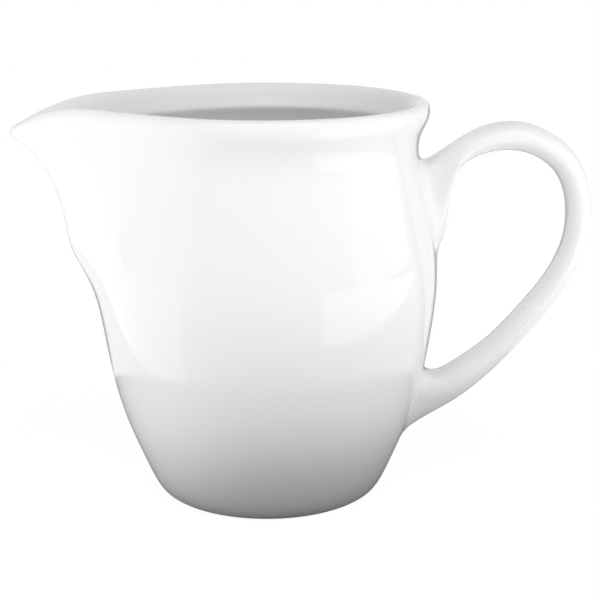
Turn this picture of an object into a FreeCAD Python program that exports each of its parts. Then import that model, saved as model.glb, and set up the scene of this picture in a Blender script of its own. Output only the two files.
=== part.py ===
import FreeCAD, Part
import math
import os

# Porcelain creamer, modelled in millimetres at real size.
# The origin is the centre of the foot. +Z is up, the spout points to -X and the handle to +X.
# The jug is one closed skin: up the outside, over the lip and down the inside.
# The handle is a second skin that starts and ends inside the wall, and is blended into it.

WALL = 3.1                  # wall thickness of the round body
SPOUT_WALL = 4.3            # the same, measured along the ridge of the spout
FOOT_RADIUS = 24.2          # outer edge of the flat ring that the jug stands on
FOOT_INNER_RADIUS = 21.6    # inner edge of that ring
RECESS_RADIUS = 20.8        # hollow under the base, at its top
RECESS_DEPTH = 1.7
RECESS_ROUNDING = 0.7
FLOOR = 5.2                 # height of the inside floor above the table
FLOOR_RADIUS = 13.0         # flat middle of the inside floor
TIP_SHARE = 0.4             # the part of the spout's width over which its tip dips
BODY_COLUMNS = 48           # control points around the body
STRAP_COLUMNS = 12          # control points around the handle strap
UPPER_BLEND = 2.3           # radius between the upper handle root and the wall
LOWER_BLEND = 2.6           # radius between the lower handle root and the wall

# Rings of the outside, from the foot to the crest of the lip: radius of the round body, height,
# how far the spout reaches out from the round, how wide it is, and how far its tip dips.
OUTSIDE = [
    (FOOT_RADIUS, 0.0, 0.0, 0.0, 0.0),
    (25.4, 0.0, 0.0, 0.0, 0.0),
    (27.2, 3.0, 0.0, 0.0, 0.0),
    (29.6, 9.0, 0.0, 0.0, 0.0),
    (33.3, 18.0, 0.0, 0.0, 0.0),
    (35.7, 28.0, 0.0, 0.0, 0.0),
    (37.4, 38.0, 0.0, 0.0, 0.0),
    (38.6, 48.0, 1.6, 16.8, 0.0),
    (37.7, 57.0, 8.9, 22.4, 0.0),
    (36.0, 65.0, 10.1, 28.0, 0.0),
    (34.6, 71.5, 14.7, 32.5, 0.0),
    (33.4, 76.7, 18.6, 34.7, 0.2),
    (33.3, 81.0, 22.2, 35.0, 3.2),
    (36.0, 85.2, 23.2, 35.0, 4.8),
    (35.6, 88.3, 21.6, 35.0, 6.0),
]

# The inner half of the rounded lip: over the crest, down the flare to the edge of the throat,
# and back under that edge to the wall.
LIP_INSIDE = [
    (34.1, 88.9, 20.8, 35.0, 6.0),
    (32.3, 87.9, 19.8, 34.8, 6.0),
    (30.9, 85.6, 19.2, 34.6, 5.2),
    (30.0, 84.2, 18.9, 34.4, 4.7),
    (29.6, 83.4, 18.7, 34.2, 4.4),
    (29.8, 82.5, 18.6, 34.0, 4.0),
    (30.4, 80.4, 18.4, 33.6, 3.2),
]

# The bowl of the inside, where the wall turns into the floor.
BOWL = [
    (26.4, 10.4, 0.0, 0.0, 0.0),
    (21.5, FLOOR + 0.5, 0.0, 0.0, 0.0),
    (17.0, FLOOR, 0.0, 0.0, 0.0),
    (FLOOR_RADIUS, FLOOR, 0.0, 0.0, 0.0),
]
FIRST_WALL_RING = 4         # the part of OUTSIDE that the inside follows at wall thickness
LAST_WALL_RING = 11

# Sections of the handle strap, from the tail on the wall over the top to the lower root:
# the point on the outer outline, the point on the outline of the finger gap, and the strap width.
HANDLE = [
    ((35.4, 53.4), (37.1, 53.4), 5.0),
    ((35.7, 58.0), (39.8, 57.2), 8.0),
    ((35.2, 62.5), (40.3, 61.5), 9.6),
    ((34.8, 68.0), (40.3, 66.3), 10.2),
    ((35.2, 73.0), (41.4, 70.4), 10.2),
    ((38.3, 77.0), (43.3, 73.6), 9.6),
    ((43.6, 81.2), (46.6, 76.2), 9.0),
    ((51.9, 84.1), (51.9, 77.4), 8.6),
    ((59.8, 83.0), (57.8, 76.7), 8.4),
    ((67.8, 77.8), (63.1, 73.4), 8.4),
    ((72.6, 67.3), (66.4, 66.5), 8.4),
    ((72.4, 58.6), (66.5, 59.2), 8.4),
    ((69.0, 48.3), (64.0, 51.2), 8.4),
    ((62.7, 38.8), (58.0, 42.4), 8.5),
    ((55.0, 29.6), (50.8, 34.5), 8.8),
    ((47.2, 22.2), (43.4, 28.6), 9.4),
    ((40.9, 17.4), (38.6, 25.6), 10.2),
    ((29.4, 10.6), (33.9, 24.6), 10.8),
]


def vector(x, y, z):
    return FreeCAD.Vector(x, y, z)


def cage_radius(radius, columns):
    """Radius of the control polygon whose smooth curve is a circle of the given radius."""
    return radius * 3.0 / (2.0 + math.cos(2.0 * math.pi / columns))


def body_ring(radius, height, reach, width, dip):
    """Control points of one ring: a circle, drawn out to a ridge on the -X side for the spout."""
    cage = cage_radius(radius, BODY_COLUMNS)
    points = []
    for column in range(BODY_COLUMNS):
        angle = math.pi / 2.0 + 2.0 * math.pi * column / BODY_COLUMNS
        from_ridge = 2.0 * cage * abs(math.sin((math.pi - angle) / 2.0))
        pull = max(0.0, 1.0 - from_ridge / width) if width > 0.0 else 0.0
        tip_pull = max(0.0, 1.0 - from_ridge / (width * TIP_SHARE)) if width > 0.0 else 0.0
        points.append(vector(
            cage * math.cos(angle) - reach * pull ** 2,
            cage * math.sin(angle),
            height - dip * tip_pull ** 2,
        ))
    return points


def inside_wall():
    """Rings of the inside wall, which keep the wall's thickness from the outside."""
    rings = []
    for radius, height, reach, width, dip in reversed(OUTSIDE[FIRST_WALL_RING:LAST_WALL_RING + 1]):
        inner_reach = max(0.0, reach - (SPOUT_WALL - WALL))
        rings.append((radius - WALL, height, inner_reach, width - WALL / 2.0, dip))
    return rings


def closed_skin(rings):
    """Solid with one smooth skin through rings of control points and a flat cap at each end."""
    columns = len(rings[0])
    row_weights = [4] + [1] * (len(rings) - 4) + [4]
    column_weights = [1] * (columns + 1)
    surface = Part.BSplineSurface()
    surface.buildFromPolesMultsKnots(
        rings, row_weights, column_weights,
        list(range(len(row_weights))), list(range(columns + 1)),
        False, True, 3, 3)
    skin = surface.toShape()
    rims = [edge for edge in skin.Edges if edge.isClosed()]
    caps = [Part.Face(Part.Wire([edge])) for edge in rims]
    shell = Part.makeShell([skin.Faces[0]] + caps)
    shell.sewShape()
    solid = Part.makeSolid(shell)
    if solid.Volume < 0.0:
        solid.reverse()
    return solid


def body():
    rings = OUTSIDE + LIP_INSIDE + inside_wall() + BOWL
    return closed_skin([body_ring(*values) for values in rings])


def base_recess():
    """The shallow hollow that leaves the jug standing on its foot ring."""
    hollow = Part.makeCone(FOOT_INNER_RADIUS, RECESS_RADIUS, RECESS_DEPTH)
    top = [edge for edge in hollow.Edges if edge.BoundBox.ZMin > RECESS_DEPTH / 2.0]
    return hollow.makeFillet(RECESS_ROUNDING, top)


def strap_section(outer, inner, width):
    """Control points of one oval section, standing across the line from outer to inner."""
    centre = vector((outer[0] + inner[0]) / 2.0, 0.0, (outer[1] + inner[1]) / 2.0)
    across = vector(inner[0] - outer[0], 0.0, inner[1] - outer[1]) * 0.5
    side = vector(0.0, width / 2.0, 0.0)
    cage = cage_radius(1.0, STRAP_COLUMNS)
    points = []
    for column in range(STRAP_COLUMNS):
        angle = 2.0 * math.pi * column / STRAP_COLUMNS
        points.append(centre + across * (cage * math.cos(angle)) + side * (cage * math.sin(angle)))
    return points


def passing_through(sections):
    """Control sections whose smooth skin passes through the given sections."""
    control = [list(section) for section in sections]
    for _ in range(8):
        for i in range(1, len(sections) - 1):
            for c in range(STRAP_COLUMNS):
                drawn = (control[i - 1][c] + control[i][c] * 4.0 + control[i + 1][c]) * (1.0 / 6.0)
                control[i][c] = control[i][c] + sections[i][c] - drawn
    return control


def strap():
    return closed_skin(passing_through([strap_section(*values) for values in HANDLE]))


def root_edges(jug):
    """The two closed edges where the strap meets the outside of the wall."""
    edges = []
    for edge in jug.Edges:
        box = edge.BoundBox
        beside_handle = box.XMin > FOOT_RADIUS and box.ZLength > WALL
        if beside_handle and len(jug.ancestorsOfType(edge, Part.Face)) == 2:
            edges.append(edge)
    return sorted(edges, key=lambda edge: edge.BoundBox.ZMin)


def creamer():
    jug = body().cut(base_recess()).fuse(strap())
    lower = root_edges(jug)[:1]
    jug = jug.makeFillet(LOWER_BLEND, lower)
    upper = [edge for edge in root_edges(jug) if edge.BoundBox.ZMin > 48.0]
    jug = jug.makeFillet(UPPER_BLEND, upper)
    return jug.Solids[0]


os.makedirs("parts", exist_ok=True)
jug = creamer()
print("creamer", jug.isValid(), round(jug.Volume / 1000.0, 2), "cubic centimetres")
jug.exportStep("parts/creamer.step")
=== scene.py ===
import math

import bmesh
import bpy
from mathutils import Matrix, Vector


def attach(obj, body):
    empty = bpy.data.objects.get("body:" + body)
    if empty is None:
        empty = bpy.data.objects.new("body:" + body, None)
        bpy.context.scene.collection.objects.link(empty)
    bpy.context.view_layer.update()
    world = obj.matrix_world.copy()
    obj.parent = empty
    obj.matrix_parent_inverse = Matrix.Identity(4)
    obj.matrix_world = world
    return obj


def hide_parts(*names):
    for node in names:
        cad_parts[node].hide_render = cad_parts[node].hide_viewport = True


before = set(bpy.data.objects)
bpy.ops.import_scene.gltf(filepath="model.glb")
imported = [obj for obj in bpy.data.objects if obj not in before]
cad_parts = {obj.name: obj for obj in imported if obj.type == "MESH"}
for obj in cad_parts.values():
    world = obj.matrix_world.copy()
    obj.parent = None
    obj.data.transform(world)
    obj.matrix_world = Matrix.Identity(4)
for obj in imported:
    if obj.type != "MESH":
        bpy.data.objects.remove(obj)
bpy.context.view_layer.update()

# Porcelain creamer on a pale studio table. Metres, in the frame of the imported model:
# the origin is the centre of the foot, +Z is up, the spout points to -X and the handle to +X.
# The jug is drawn in millimetres and multiplied by MM where an operator takes a size.

MM = 0.001
COLUMNS = 48                # faces around the wall, before it is smoothed
LOOP = 10                   # edges around the handle, and around each opening that it grows from
TIP_SHARE = 0.63            # the part of the spout's width over which its tip dips
NEAR = 0.05                 # a vertex this close to a ring or to the ridge belongs to it
SMOOTHING = 2               # levels of subdivision
FITTING_ROUNDS = 8          # corrections that bring the handle's line onto its points

# Underside, from the middle of the hollow to the foot ring: radius, height.
UNDERSIDE = [
    (13.0, 1.7), (19.2, 1.7), (20.6, 1.6), (21.3, 0.9), (21.6, 0.0), (22.6, 0.0),
]

# Rings of the outside, up to the crest of the lip: radius, height, how far the spout is pulled out,
# how wide the pull is, and how far the tip of the spout dips.
OUTSIDE = [
    (24.0, 0.0, 0.0, 0.0, 0.0),
    (25.4, 0.0, 0.0, 0.0, 0.0),
    (27.2, 3.0, 0.0, 0.0, 0.0),
    (29.4, 8.4, 0.0, 0.0, 0.0),
    (31.3, 13.0, 0.0, 0.0, 0.0),
    (33.0, 17.6, 0.0, 0.0, 0.0),
    (34.3, 22.0, 0.0, 0.0, 0.0),
    (35.2, 25.7, 0.0, 0.0, 0.0),
    (36.5, 32.5, 0.0, 0.0, 0.0),
    (37.6, 40.0, 0.0, 0.0, 0.0),
    (38.4, 48.0, 1.6, 16.8, 0.0),
    (37.9, 55.5, 7.9, 21.6, 0.0),
    (36.6, 62.3, 9.5, 26.4, 0.0),
    (35.2, 69.0, 12.8, 31.1, 0.0),
    (34.0, 74.2, 16.8, 34.0, 0.0),
    (33.2, 78.2, 19.9, 34.9, 1.1),
    (33.8, 82.0, 22.3, 35.0, 3.6),
    (36.0, 85.4, 23.1, 35.0, 4.9),
    (35.6, 88.3, 21.6, 35.0, 6.0),
]

# Over the crest, down the flare to the edge of the throat, and back under that edge.
THROAT = [
    (34.1, 88.9, 20.8, 35.0, 6.0),
    (32.3, 87.9, 19.8, 34.8, 6.0),
    (30.9, 85.6, 19.2, 34.6, 5.2),
    (30.0, 84.2, 18.9, 34.4, 4.7),
    (29.6, 83.4, 18.7, 34.2, 4.4),
    (29.8, 82.5, 18.6, 34.0, 4.0),
    (30.4, 80.4, 18.4, 33.6, 3.2),
]

# Down the inside wall to the floor.
INSIDE = [
    (30.3, 76.7, 17.4, 33.2, 0.2),
    (31.5, 71.5, 13.5, 31.0, 0.0),
    (32.9, 65.0, 8.9, 26.5, 0.0),
    (34.6, 57.0, 7.7, 20.9, 0.0),
    (35.5, 48.0, 0.4, 15.3, 0.0),
    (34.3, 38.0, 0.0, 0.0, 0.0),
    (32.6, 28.0, 0.0, 0.0, 0.0),
    (30.2, 18.0, 0.0, 0.0, 0.0),
    (26.4, 10.4, 0.0, 0.0, 0.0),
    (21.5, 5.7, 0.0, 0.0, 0.0),
    (17.0, 5.2, 0.0, 0.0, 0.0),
    (11.0, 5.2, 0.0, 0.0, 0.0),
]

# Sections of the handle, from the upper root over the top to the lower root:
# the point on its outer side, the point on the side of the finger gap, and its width.
HANDLE = [
    ((38.0, 76.8), (39.9, 57.5), 9.4),
    ((41.5, 79.2), (40.3, 64.5), 9.8),
    ((45.2, 81.5), (40.8, 70.4), 9.6),
    ((50.1, 83.3), (45.0, 75.3), 9.0),
    ((55.9, 83.6), (52.6, 77.4), 8.6),
    ((62.0, 81.7), (59.0, 76.3), 8.4),
    ((68.0, 77.1), (63.7, 73.1), 8.4),
    ((71.7, 70.2), (66.4, 68.3), 8.4),
    ((72.9, 62.5), (67.3, 62.1), 8.4),
    ((71.2, 53.8), (66.3, 55.2), 8.4),
    ((67.6, 45.8), (63.0, 48.4), 8.4),
    ((62.7, 38.8), (58.3, 42.2), 8.5),
    ((55.0, 29.6), (51.1, 34.2), 8.8),
    ((48.0, 22.9), (44.3, 29.0), 9.3),
    ((42.6, 18.4), (39.3, 25.4), 9.8),
]

# The handle grows out of two openings in the outside of the wall.
UPPER_ROOT = (55.5, 74.2)   # heights between which the wall is opened
LOWER_ROOT = (13.0, 25.7)
ROOT_HALF_WIDTH = 5.0       # faces of an opening have their centres this close to the middle
ROOT_NEAR, ROOT_FAR = 30.5, 39.0    # and this far from the axis of the jug
ROOT_MARGIN = 5.0           # the ends of the handle reach less than this above or below an opening


# ---------------------------------------------------------------- modelling

def select(kind, belongs):
    """In edit mode, selects the visible vertices, edges or faces that pass the test."""
    bpy.ops.mesh.select_all(action="DESELECT")
    bpy.ops.mesh.select_mode(type=kind)
    mesh = bmesh.from_edit_mesh(bpy.context.object.data)
    for element in {"VERT": mesh.verts, "EDGE": mesh.edges, "FACE": mesh.faces}[kind]:
        if not element.hide and belongs(element):
            element.select = True
    mesh.select_flush_mode()
    bmesh.update_edit_mesh(bpy.context.object.data)


def cage(columns):
    """How much larger a control ring is than the circle that subdivision draws from it."""
    return 3.0 / (2.0 + math.cos(2.0 * math.pi / columns))


def extrude_ring(start, end):
    """Extrudes the selected ring to the radius and height of the next one."""
    bpy.ops.mesh.extrude_edges_move(
        TRANSFORM_OT_translate={"value": (0.0, 0.0, (end[1] - start[1]) * MM)})
    growth = end[0] / start[0]
    bpy.ops.transform.resize(value=(growth, growth, 1.0), center_override=(0.0, 0.0, 0.0))


def pull(along, down, width):
    """Moves the selected vertex, which draws its neighbours after it over the given width."""
    bpy.ops.transform.translate(
        value=(along * MM, 0.0, -down * MM), use_proportional_edit=True,
        proportional_edit_falloff="SHARP", proportional_size=width * MM)


def pull_spout(radius, height, reach, width, dip):
    """Pulls the front of one ring out to the ridge of the spout, and lets its tip dip."""
    ring = radius * cage(COLUMNS)

    def on_ring(vertex):
        place = vertex.co / MM
        return abs(place.xy.length - ring) < NEAR and abs(place.z - height) < NEAR

    def on_ridge(vertex):
        place = vertex.co / MM
        return place.x < -radius and abs(place.y) < NEAR

    select("VERT", on_ring)
    bpy.ops.mesh.hide(unselected=True)
    select("VERT", on_ridge)
    pull(-reach, 0.0, width)
    pull(0.0, dip, width * TIP_SHARE)
    bpy.ops.mesh.reveal(select=False)


def wall():
    """The round jug, drawn as one skin: hollow, foot ring, outside, lip, inside and floor."""
    rings = UNDERSIDE + [ring[:2] for ring in OUTSIDE + THROAT + INSIDE]
    radius, height = rings[0]
    bpy.ops.mesh.primitive_circle_add(
        vertices=COLUMNS, radius=radius * cage(COLUMNS) * MM, fill_type="NGON",
        location=(0.0, 0.0, height * MM))
    bpy.ops.object.transform_apply(location=True, rotation=True, scale=True)
    bpy.ops.object.mode_set(mode="EDIT")
    bpy.ops.mesh.select_all(action="SELECT")
    for start, end in zip(rings, rings[1:]):
        extrude_ring(start, end)
    bpy.ops.mesh.edge_face_add()
    for radius, height, reach, width, dip in OUTSIDE + THROAT + INSIDE:
        if reach > 0.0:
            pull_spout(radius, height, reach, width, dip)
    bpy.ops.object.mode_set(mode="OBJECT")
    return bpy.context.object


def passing_through(points):
    """Control points whose subdivided line passes through the given points."""
    control = [Vector(point) for point in points]
    for _ in range(FITTING_ROUNDS):
        for i in range(1, len(points) - 1):
            drawn = (control[i - 1] + control[i] * 4.0 + control[i + 1]) / 6.0
            control[i] = control[i] + Vector(points[i]) - drawn
    return control


def turn_about(middle, angle):
    """Turns the selection in the plane of the handle, about a point."""
    # With no window the operator turns the other way, so the angle is negative.
    bpy.ops.transform.rotate(value=-angle, orient_axis="Y", center_override=middle * MM)


def handle():
    """The strap of the handle: one oval, extruded from section to section.

    It starts as a circle of 1 mm radius at the origin. At each section it is turned upright, sized,
    moved to the section's middle and turned to the section's tilt."""
    outer = passing_through([point for point, _, _ in HANDLE])
    gap = passing_through([point for _, point, _ in HANDLE])
    bpy.ops.mesh.primitive_circle_add(
        vertices=LOOP, radius=cage(LOOP) * MM, rotation=(math.pi / 2.0, 0.0, math.pi / 2.0))
    bpy.ops.object.transform_apply(location=True, rotation=True, scale=True)
    bpy.ops.object.mode_set(mode="EDIT")
    bpy.ops.mesh.select_all(action="SELECT")
    middle, tilt = Vector((0.0, 0.0, 0.0)), 0.0
    half_width, half_depth = 1.0, 1.0
    for number, (out, back, (_, _, width)) in enumerate(zip(outer, gap, HANDLE)):
        if number > 0:
            bpy.ops.mesh.extrude_edges_move()
        depth = (back - out).length
        turn_about(middle, -tilt)
        bpy.ops.transform.resize(
            value=(1.0, width / 2.0 / half_width, depth / 2.0 / half_depth),
            center_override=middle * MM)
        step = Vector((out.x + back.x, 0.0, out.y + back.y)) / 2.0 - middle
        bpy.ops.transform.translate(value=step * MM)
        middle = middle + step
        tilt = math.atan2(back.x - out.x, back.y - out.y)
        half_width, half_depth = width / 2.0, depth / 2.0
        turn_about(middle, tilt)
    bpy.ops.object.mode_set(mode="OBJECT")
    return bpy.context.object


def grow_root(low, high):
    """Opens the outside of the wall between two heights, and bridges it to the end of the handle."""

    def in_opening(face):
        centre = face.calc_center_median() / MM
        behind_root = low < centre.z < high and abs(centre.y) < ROOT_HALF_WIDTH
        looks_at_root = face.normal.x > 0.5
        return behind_root and looks_at_root and ROOT_NEAR < centre.x < ROOT_FAR

    def on_open_edge(edge):
        height = (edge.verts[0].co.z + edge.verts[1].co.z) / 2.0 / MM
        return edge.is_boundary and low - ROOT_MARGIN < height < high + ROOT_MARGIN

    select("FACE", in_opening)
    bpy.ops.mesh.delete(type="FACE")
    select("EDGE", on_open_edge)
    bpy.ops.mesh.bridge_edge_loops(type="SINGLE")


def point_faces_outwards():
    bpy.ops.mesh.select_all(action="SELECT")
    bpy.ops.mesh.normals_make_consistent(inside=False)


def creamer():
    """The whole jug as one smooth skin, with the handle grown into the wall."""
    bpy.ops.object.select_all(action="DESELECT")
    jug = wall()
    bpy.ops.object.select_all(action="DESELECT")
    strap = handle()
    strap.select_set(True)
    jug.select_set(True)
    bpy.context.view_layer.objects.active = jug
    bpy.ops.object.join()
    jug.name = "cream_jug"
    bpy.ops.object.mode_set(mode="EDIT")
    point_faces_outwards()
    grow_root(*UPPER_ROOT)
    grow_root(*LOWER_ROOT)
    point_faces_outwards()
    bpy.ops.object.mode_set(mode="OBJECT")
    smooth = jug.modifiers.new("smooth", "SUBSURF")
    smooth.levels = smooth.render_levels = SMOOTHING
    bpy.ops.object.modifier_apply(modifier="smooth")
    bpy.ops.object.shade_smooth()
    return jug


# ---------------------------------------------------------------- shader maths

class Value:
    """A material socket whose maths is written as plain expressions."""

    def __init__(self, material, socket):
        self.material = material
        self.socket = socket

    def maths(self, operation, *terms):
        return self.material.node("ShaderNodeMath", {"operation": operation}, dict(enumerate(terms)))

    def __add__(self, other):
        return self.maths("ADD", self, other)

    def __radd__(self, other):
        return self.maths("ADD", other, self)

    def __sub__(self, other):
        return self.maths("SUBTRACT", self, other)

    def __rsub__(self, other):
        return self.maths("SUBTRACT", other, self)

    def __mul__(self, other):
        return self.maths("MULTIPLY", self, other)

    def __rmul__(self, other):
        return self.maths("MULTIPLY", other, self)

    def __abs__(self):
        return self.maths("ABSOLUTE", self)

    def below(self, edge, softness):
        """1 below the edge, 0 above it, with a soft step between."""
        return self.material.node("ShaderNodeMapRange", {"interpolation_type": "SMOOTHSTEP"}, {
            "Value": self, "From Min": edge - softness, "From Max": edge + softness,
            "To Min": 1.0, "To Max": 0.0})


class Material:
    """A node material built one call at a time."""

    def __init__(self, data):
        self.data = data
        self.data.use_nodes = True
        self.tree = self.data.node_tree
        self.tree.nodes.clear()

    def node(self, kind, settings=None, sockets=None, output=0):
        """Adds a node: its settings first, then the values or links of its sockets."""
        node = self.tree.nodes.new(kind)
        for name, value in (settings or {}).items():
            setattr(node, name, value)
        for name, value in (sockets or {}).items():
            if isinstance(value, Value):
                self.tree.links.new(value.socket, node.inputs[name])
            else:
                node.inputs[name].default_value = value
        return Value(self, node.outputs[output]) if node.outputs else None

    def colour_between(self, share, first, second):
        """The first colour where the share is 0, the second where it is 1."""
        return self.node("ShaderNodeMix", {"data_type": "RGBA"}, {
            0: share, 6: first, 7: second}, output=2)

    def shader_between(self, share, first, second):
        """The first shader where the share is 0, the second where it is 1."""
        return self.node("ShaderNodeMixShader", {}, {0: share, 1: first, 2: second})


# ---------------------------------------------------------------- materials

PORCELAIN = (0.80, 0.80, 0.80, 1.0)         # two tones of white that drift into each other
PALE_PORCELAIN = (0.82, 0.82, 0.82, 1.0)
BARE_CLAY = (0.72, 0.71, 0.69, 1.0)
BARE_HEIGHT = 0.25          # the glaze is wiped off up to this height, in millimetres
BARE_FADE = 0.12
WAVES_PER_METRE = 45.0      # slow waves in the surface of the glaze
GRAINS_PER_METRE = 1400.0   # grain of the bare clay
RELIEF = 0.2                # height of waves and grain at full strength, in millimetres


def glazed_porcelain():
    """White porcelain under a clear gloss glaze, wiped off the foot ring before firing."""
    glaze = Material(bpy.data.materials.new("glazed_porcelain"))
    place = glaze.node("ShaderNodeTexCoord", output="Object")
    height = glaze.node("ShaderNodeSeparateXYZ", {}, {0: place}, output="Z")
    waves = glaze.node("ShaderNodeTexNoise", {}, {
        "Vector": place, "Scale": WAVES_PER_METRE, "Detail": 1.0, "Roughness": 0.4})
    grain = glaze.node("ShaderNodeTexNoise", {}, {
        "Vector": place, "Scale": GRAINS_PER_METRE, "Detail": 2.0, "Roughness": 0.6})
    bare = height.below(BARE_HEIGHT * MM, BARE_FADE * MM)
    body = glaze.colour_between(waves, PORCELAIN, PALE_PORCELAIN)
    relief = glaze.node("ShaderNodeBump", {}, {
        "Strength": 0.10, "Distance": RELIEF * MM, "Height": waves + bare * grain * 0.5})
    shader = glaze.node("ShaderNodeBsdfPrincipled", {}, {
        "Base Color": glaze.colour_between(bare, body, BARE_CLAY),
        "Roughness": 0.04 + waves * 0.03 + bare * 0.5, "IOR": 1.5, "Normal": relief})
    glaze.node("ShaderNodeOutputMaterial", {}, {"Surface": shader})
    return glaze.data


# ---------------------------------------------------------------- studio

WHITE = (1.0, 1.0, 1.0, 1.0)
PAPER = (0.9, 0.9, 0.9, 1.0)
# Dark that stands for the shade around the foot (painted shade), and for the gap behind the jug.
SHADE_AND_GAP_DARK = (0.04, 0.04, 0.04, 1.0)
SHADE_AND_GAP_SHARE = 0.85           # how much the painted shade and the gap cover the white table in the glaze
TABLE_RADIUS = 4.0          # metres
TABLE_DROP = 0.1            # the table lies this far below the foot, in millimetres

# Dark shapes on the table, in millimetres: painted shade and a gap. A fade is the half width of a soft
# edge.
# The round patch of painted shade that the glaze mirrors: its fade is short at the sides, and longer
# along the middle stretch, in front of the jug and behind it.
MIRRORED_SHADE_RADIUS, SIDE_FADE, ADDED_FADE = 85.0, 3.0, 15.0
MIDDLE_STRETCH, STRETCH_FADE = 45.0, 20.0

# The oval patch of painted shade that takes light from the foot: half its length, its fade, how much
# it is squeezed from side to side, and its middle, measured with the squeeze.
SHADE_HALF_LENGTH, SHADING_FADE = 67.0, 24.0
SQUEEZE = (1.55, 1.0, 1.0)
SHADE_MIDDLE = (15.0 * MM, -16.0 * MM, 0.0)

# The gap in the white behind the jug: where it starts, half its width at the jug, how much that
# grows with each millimetre of depth, and its fade.
GAP_START, GAP_HALF_WIDTH, GAP_SPREAD, GAP_FADE = 70.0, 40.0, 0.5, 15.0

# The trace of the jug's shadow: its radius, its fade and its strength.
SHADOW_RADIUS, SHADOW_FADE, SHADOW_STRENGTH = 75.0, 45.0, 0.12


def seen_rays(material):
    """Two masks: rays from the camera, and all the rays that show the background, which are those
    from the camera, from a mirror and through glass."""
    camera, glossy, transmission = [
        material.node("ShaderNodeLightPath", output=kind)
        for kind in ("Is Camera Ray", "Is Glossy Ray", "Is Transmission Ray")]
    seen = camera.maths("MAXIMUM", camera.maths("MAXIMUM", camera, glossy), transmission)
    return camera, seen


def light_table():
    """A white light table with two patches of painted shade under the jug, and a gap in the white
    behind it.

    They show only in the light that the jug gets and in what it mirrors: the painted shade darkens
    the foot, and the gap draws the thin grey line along the edges. The camera sees the table plain
    white, with a trace of the jug's shadow."""
    table = Material(bpy.data.materials.new("light_table"))
    place = table.node("ShaderNodeTexCoord", output="Object")
    x = table.node("ShaderNodeSeparateXYZ", {}, {0: place}, output="X")
    y = table.node("ShaderNodeSeparateXYZ", {}, {0: place}, output="Y")
    away = table.node("ShaderNodeVectorMath", {"operation": "LENGTH"}, {0: place}, output="Value")
    squeezed = table.node("ShaderNodeVectorMath", {"operation": "MULTIPLY"}, {0: place, 1: SQUEEZE})
    from_shade_middle = table.node("ShaderNodeVectorMath", {"operation": "DISTANCE"}, {
        0: squeezed, 1: SHADE_MIDDLE}, output="Value")

    # Painted shade around the foot: a round patch that the glaze mirrors, and an oval one that takes
    # light from the foot.
    along_middle = abs(x).below(MIDDLE_STRETCH * MM, STRETCH_FADE * MM)
    mirrored_shade_fade = SIDE_FADE * MM + along_middle * (ADDED_FADE * MM)
    mirrored_shade = away.below(MIRRORED_SHADE_RADIUS * MM, mirrored_shade_fade)
    foot_shade = from_shade_middle.below(SHADE_HALF_LENGTH * MM, SHADING_FADE * MM)
    beside_gap = (abs(x) - y * GAP_SPREAD).below(GAP_HALF_WIDTH * MM, GAP_FADE * MM)
    gap = beside_gap * (1.0 - y.below(GAP_START * MM, GAP_FADE * MM))
    camera, seen = seen_rays(table)
    shadow = camera * away.below(SHADOW_RADIUS * MM, SHADOW_FADE * MM) * SHADOW_STRENGTH
    # In mirrors the painted shade and the gap darken the white.
    dark = (1.0 - camera) * (mirrored_shade + gap) * SHADE_AND_GAP_SHARE

    glow = table.node("ShaderNodeEmission", {}, {"Color": WHITE, "Strength": 1.0})
    half_glow = table.node("ShaderNodeEmission", {}, {"Color": WHITE, "Strength": 0.5})
    white = table.node("ShaderNodeBsdfDiffuse", {}, {"Color": PAPER})
    shade_and_gap_dark = table.node("ShaderNodeBsdfDiffuse", {}, {"Color": SHADE_AND_GAP_DARK})
    paper = table.node("ShaderNodeAddShader", {}, {0: half_glow, 1: white})
    looks = table.shader_between(dark, table.shader_between(shadow, glow, paper), shade_and_gap_dark)
    # The light that the jug gets from the table is darkened around its foot by painted shade.
    lights = table.shader_between(foot_shade, glow, shade_and_gap_dark)
    table.node("ShaderNodeOutputMaterial", {}, {
        "Surface": table.shader_between(seen, lights, looks)})
    table.data.cycles.emission_sampling = "NONE"    # sampled as a lamp, the table makes speckles
    return table.data


def table_top():
    bpy.ops.object.select_all(action="DESELECT")
    bpy.ops.mesh.primitive_circle_add(vertices=96, radius=TABLE_RADIUS, fill_type="NGON")
    top = bpy.context.object
    top.name = "table_top"
    bpy.ops.object.mode_set(mode="EDIT")
    bpy.ops.transform.translate(value=(0.0, 0.0, -TABLE_DROP * MM))
    bpy.ops.object.mode_set(mode="OBJECT")
    top.data.materials.append(light_table())


def white_room():
    """A white background, and a weak even light from all round."""
    world = bpy.data.worlds.new("white_room")
    bpy.context.scene.world = world
    room = Material(world)
    _, seen = seen_rays(room)
    white = room.node("ShaderNodeBackground", {}, {"Color": WHITE, "Strength": 1.0})
    dim = room.node("ShaderNodeBackground", {}, {"Color": WHITE, "Strength": 0.08})
    room.node("ShaderNodeOutputWorld", {}, {"Surface": room.shader_between(seen, dim, white)})


# Panels have their sizes in metres, and panels of one brightness look equally bright at any size.
PANEL_DISTANCE = 0.8        # from the middle of the jug to a standing panel
JUG_MIDDLE = (0.0, 0.0, 0.045)
SHEET_HEIGHT = 2.0          # of a panel that lies on the table, in millimetres


def soft_panel(name, place, turned, width, height, brightness, mirrored):
    """A soft light panel, which the glaze mirrors only where that is asked for."""
    bpy.ops.object.light_add(type="AREA", location=place)
    panel = bpy.context.object
    panel.name = name
    panel.data.shape = "RECTANGLE"
    panel.data.size, panel.data.size_y = width, height
    panel.data.energy = math.pi * width * height * brightness
    panel.rotation_euler = turned
    panel.visible_camera = False
    panel.visible_glossy = mirrored


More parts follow.
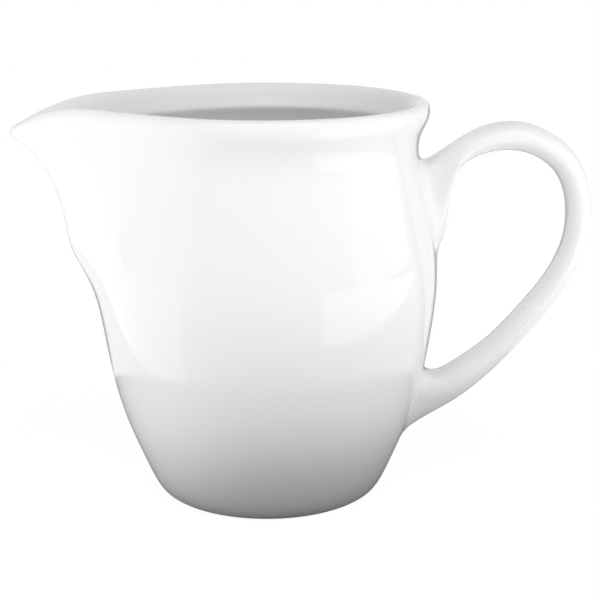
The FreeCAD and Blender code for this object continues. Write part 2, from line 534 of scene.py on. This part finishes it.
def standing_panel(name, turn, rise, width, height, brightness, mirrored=False):
    """A panel that faces the jug: degrees round from the front, and degrees up from the table."""
    turn, rise = math.radians(turn), math.radians(rise)
    towards = Vector((
        math.sin(turn) * math.cos(rise), -math.cos(turn) * math.cos(rise), math.sin(rise)))
    place = Vector(JUG_MIDDLE) + towards * PANEL_DISTANCE
    turned = (-towards).to_track_quat("-Z", "Y").to_euler()
    soft_panel(name, place, turned, width, height, brightness, mirrored)


def lying_panel(name, x, y, turn, width, height, brightness):
    """A mirrored panel that lies on the table and shines up: its middle, and degrees turned."""
    turned = (math.pi, 0.0, math.radians(turn))
    soft_panel(name, (x, y, SHEET_HEIGHT * MM), turned, width, height, brightness, True)


def soft_light():
    standing_panel("left_low", turn=-48.0, rise=0.0, width=1.20, height=0.42, brightness=2.0)
    standing_panel("right_low", turn=72.0, rise=12.0, width=0.42, height=0.75, brightness=1.75)
    standing_panel("left_high", turn=-42.0, rise=55.0, width=0.70, height=0.60, brightness=1.6)
    standing_panel("right_high", turn=45.0, rise=55.0, width=0.70, height=0.60, brightness=1.7)
    standing_panel(
        "front_high", turn=0.0, rise=50.0, width=0.90, height=0.30, brightness=0.95, mirrored=True)
    standing_panel(
        "left_mirrored", turn=-80.0, rise=4.5, width=0.90, height=0.22, brightness=0.45, mirrored=True)
    standing_panel(
        "right_mirrored", turn=82.0, rise=4.5, width=0.75, height=0.22, brightness=0.75, mirrored=True)
    lying_panel("left_sheet", x=-0.45, y=-0.02, turn=-145.0, width=0.60, height=0.50, brightness=0.7)
    lying_panel("right_sheet", x=0.415, y=-0.215, turn=-55.0, width=0.60, height=0.45, brightness=1.2)


FOCAL_LENGTH = 82.5         # with a 36 mm sensor
CAMERA_PLACE = (0.0, -0.303, 0.125)
LOOKS_DOWN = 15.14          # degrees
LOOKS_RIGHT = 1.38


def camera():
    lens = bpy.data.cameras.new("camera")
    lens.lens = FOCAL_LENGTH
    lens.sensor_width = 36.0
    lens.clip_start = 0.01
    view = bpy.data.objects.new("camera", lens)
    bpy.context.collection.objects.link(view)
    view.location = CAMERA_PLACE
    view.rotation_euler = (math.radians(90.0 - LOOKS_DOWN), 0.0, math.radians(-LOOKS_RIGHT))
    bpy.context.scene.camera = view
    bpy.context.scene.view_settings.view_transform = "Standard"


# ---------------------------------------------------------------- the scene

cream_jug = creamer()
cream_jug.data.materials.append(glazed_porcelain())
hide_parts("creamer")
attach(cream_jug, "root")

table_top()
white_room()
soft_light()
camera()
